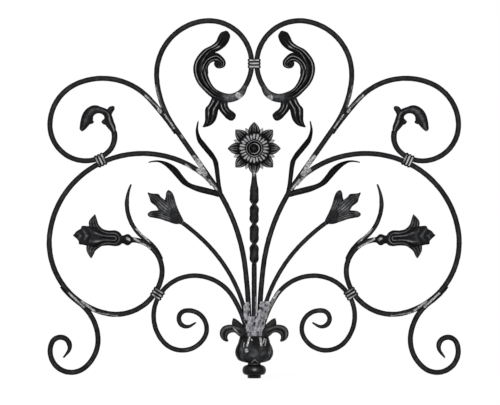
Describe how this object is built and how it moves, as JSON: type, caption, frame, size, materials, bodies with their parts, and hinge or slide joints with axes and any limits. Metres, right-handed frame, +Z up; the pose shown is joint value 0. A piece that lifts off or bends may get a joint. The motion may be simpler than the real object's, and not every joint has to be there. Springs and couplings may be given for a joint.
{
  "type": "wrought iron scroll panel",
  "caption": "Forged iron ornamental panel: scrolled bars with leaves, tulips and a rosette fan out of a base cup, strapped by collars, to be welded or built in at its foot.",
  "frame": {"origin": "middle of the underside of the foot", "axes": "+Z up the centre stem, +X across the panel towards its right side, front towards -Y"},
  "size_m": [0.9792, 0.056, 0.8496],
  "materials": {
    "bar": "dark oiled forge scale, ground bright at the welds",
    "leafwork": "dark forge scale, ridges rubbed brighter",
    "collar": "dark forge scale with ground ribs",
    "cup": "dark forge scale with bright weld runs",
    "weld": "mottled raw weld metal, ground in places"
  },
  "bodies": {
    "root": {"base_cup": "cup", "base_weld": "weld", "centre_stem": "bar", "rosette": "leafwork", "crown_collar": "collar", "main_stem_left": "bar", "main_stem_right": "bar", "big_scroll_left": "bar", "big_scroll_right": "bar", "upper_scroll_left": "bar", "upper_scroll_right": "bar", "lower_scroll_left": "bar", "lower_scroll_right": "bar", "tail_scroll_left": "bar", "tail_scroll_right": "bar", "flower_stem_left": "bar", "flower_stem_right": "bar", "tendril_left": "bar", "tendril_right": "bar", "upper_collar_left": "collar", "upper_collar_right": "collar", "lower_collar_left": "collar", "lower_collar_right": "collar", "upper_leaf_left": "leafwork", "upper_leaf_right": "leafwork", "lower_leaf_left": "leafwork", "lower_leaf_right": "leafwork", "acanthus_leaf_left": "leafwork", "acanthus_leaf_right": "leafwork", "scroll_leaf_left": "leafwork", "scroll_leaf_right": "leafwork", "tulip_left": "leafwork", "tulip_right": "leafwork", "trumpet_left": "leafwork", "trumpet_right": "leafwork"}
  },
  "joints": []
}
